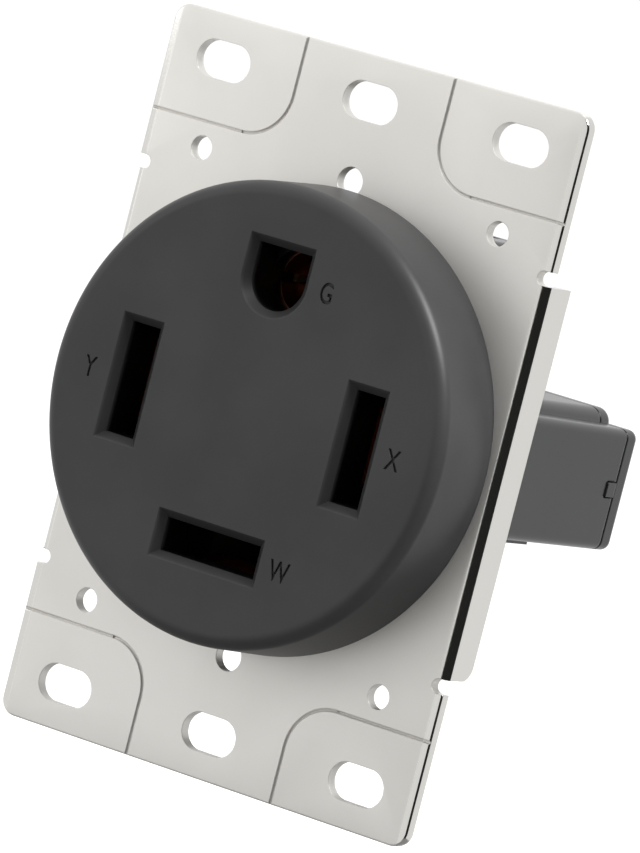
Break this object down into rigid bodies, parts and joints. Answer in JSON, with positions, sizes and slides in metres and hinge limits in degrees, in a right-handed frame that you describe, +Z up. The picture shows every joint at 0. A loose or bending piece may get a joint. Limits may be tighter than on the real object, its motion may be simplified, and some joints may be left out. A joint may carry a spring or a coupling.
{
  "type": "four prong receptacle",
  "caption": "Round-faced flush power receptacle with straight blade slots and a U-shaped ground slot, on a folded steel strap for a wall box, with screw-clamp terminals.",
  "frame": {"origin": "centre of the strap's rear face, which seats on the wall box, in the middle of the box screw pattern", "axes": "+X to the right seen from the front, +Y into the wall, +Z up"},
  "size_m": [0.064, 0.048, 0.0952],
  "materials": {
    "cover_moulding": "black thermoset moulding, satin with a fine mould texture",
    "body_moulding": "dark grey thermoset moulding, matt",
    "plated_steel": "zinc-plated sheet steel, satin",
    "contact_copper": "copper alloy strip, slightly dulled",
    "spring_steel": "hardened spring steel, oiled",
    "lug_brass": "extruded brass, tumbled",
    "screw_steel": "zinc-plated screws"
  },
  "bodies": {
    "root": {"mounting_strap": "plated_steel", "front_cover": "cover_moulding", "contact_carrier": "cover_moulding", "rear_body": "body_moulding", "back_cover": "body_moulding", "ground_bond": "contact_copper", "bond_screw": "screw_steel", "assembly_screw_1": "screw_steel", "assembly_screw_2": "screw_steel", "assembly_screw_3": "screw_steel", "assembly_screw_4": "screw_steel", "contact_x": "contact_copper", "contact_spring_x": "spring_steel", "contact_rivet_x": "lug_brass", "terminal_lug_x": "lug_brass", "contact_y": "contact_copper", "contact_spring_y": "spring_steel", "contact_rivet_y": "lug_brass", "terminal_lug_y": "lug_brass", "contact_w": "contact_copper", "contact_spring_w": "spring_steel", "contact_rivet_w": "lug_brass", "terminal_lug_w": "lug_brass", "contact_g": "contact_copper", "contact_spring_g": "spring_steel", "contact_rivet_g": "lug_brass", "terminal_lug_g": "lug_brass"},
    "clamp_plate_x": {"clamp_plate_x": "plated_steel"},
    "clamp_screw_x": {"clamp_screw_x": "screw_steel"},
    "clamp_plate_y": {"clamp_plate_y": "plated_steel"},
    "clamp_screw_y": {"clamp_screw_y": "screw_steel"},
    "clamp_plate_w": {"clamp_plate_w": "plated_steel"},
    "clamp_screw_w": {"clamp_screw_w": "screw_steel"},
    "clamp_plate_g": {"clamp_plate_g": "plated_steel"},
    "clamp_screw_g": {"clamp_screw_g": "screw_steel"}
  },
  "joints": [
    {"name": "clamp_travel_x", "type": "slide", "parent": "root", "child": "clamp_plate_x", "axis": [0, -1, 0], "range_m": [0, 0.00476]},
    {"name": "clamp_turn_x", "type": "hinge", "parent": "clamp_plate_x", "child": "clamp_screw_x", "pos_m": [0.02, 0.0233, 0], "axis": [0, -1, 0], "range_deg": [0, 1350]},
    {"name": "clamp_travel_y", "type": "slide", "parent": "root", "child": "clamp_plate_y", "axis": [0, -1, 0], "range_m": [0, 0.00476]},
    {"name": "clamp_turn_y", "type": "hinge", "parent": "clamp_plate_y", "child": "clamp_screw_y", "pos_m": [-0.02, 0.0233, 0], "axis": [0, -1, 0], "range_deg": [0, 1350]},
    {"name": "clamp_travel_w", "type": "slide", "parent": "root", "child": "clamp_plate_w", "axis": [0, -1, 0], "range_m": [0, 0.00476]},
    {"name": "clamp_turn_w", "type": "hinge", "parent": "clamp_plate_w", "child": "clamp_screw_w", "pos_m": [0, 0.0233, -0.02], "axis": [0, -1, 0], "range_deg": [0, 1350]},
    {"name": "clamp_travel_g", "type": "slide", "parent": "root", "child": "clamp_plate_g", "axis": [0, -1, 0], "range_m": [0, 0.00476]},
    {"name": "clamp_turn_g", "type": "hinge", "parent": "clamp_plate_g", "child": "clamp_screw_g", "pos_m": [0, 0.0233, 0.02], "axis": [0, -1, 0], "range_deg": [0, 1350]}
  ],
  "couplings": [
    {"joint": "clamp_turn_x", "follows": "clamp_travel_x", "rad_per_m": 4947.4},
    {"joint": "clamp_turn_y", "follows": "clamp_travel_y", "rad_per_m": 4947.4},
    {"joint": "clamp_turn_w", "follows": "clamp_travel_w", "rad_per_m": 4947.4},
    {"joint": "clamp_turn_g", "follows": "clamp_travel_g", "rad_per_m": 4947.4}
  ]
}
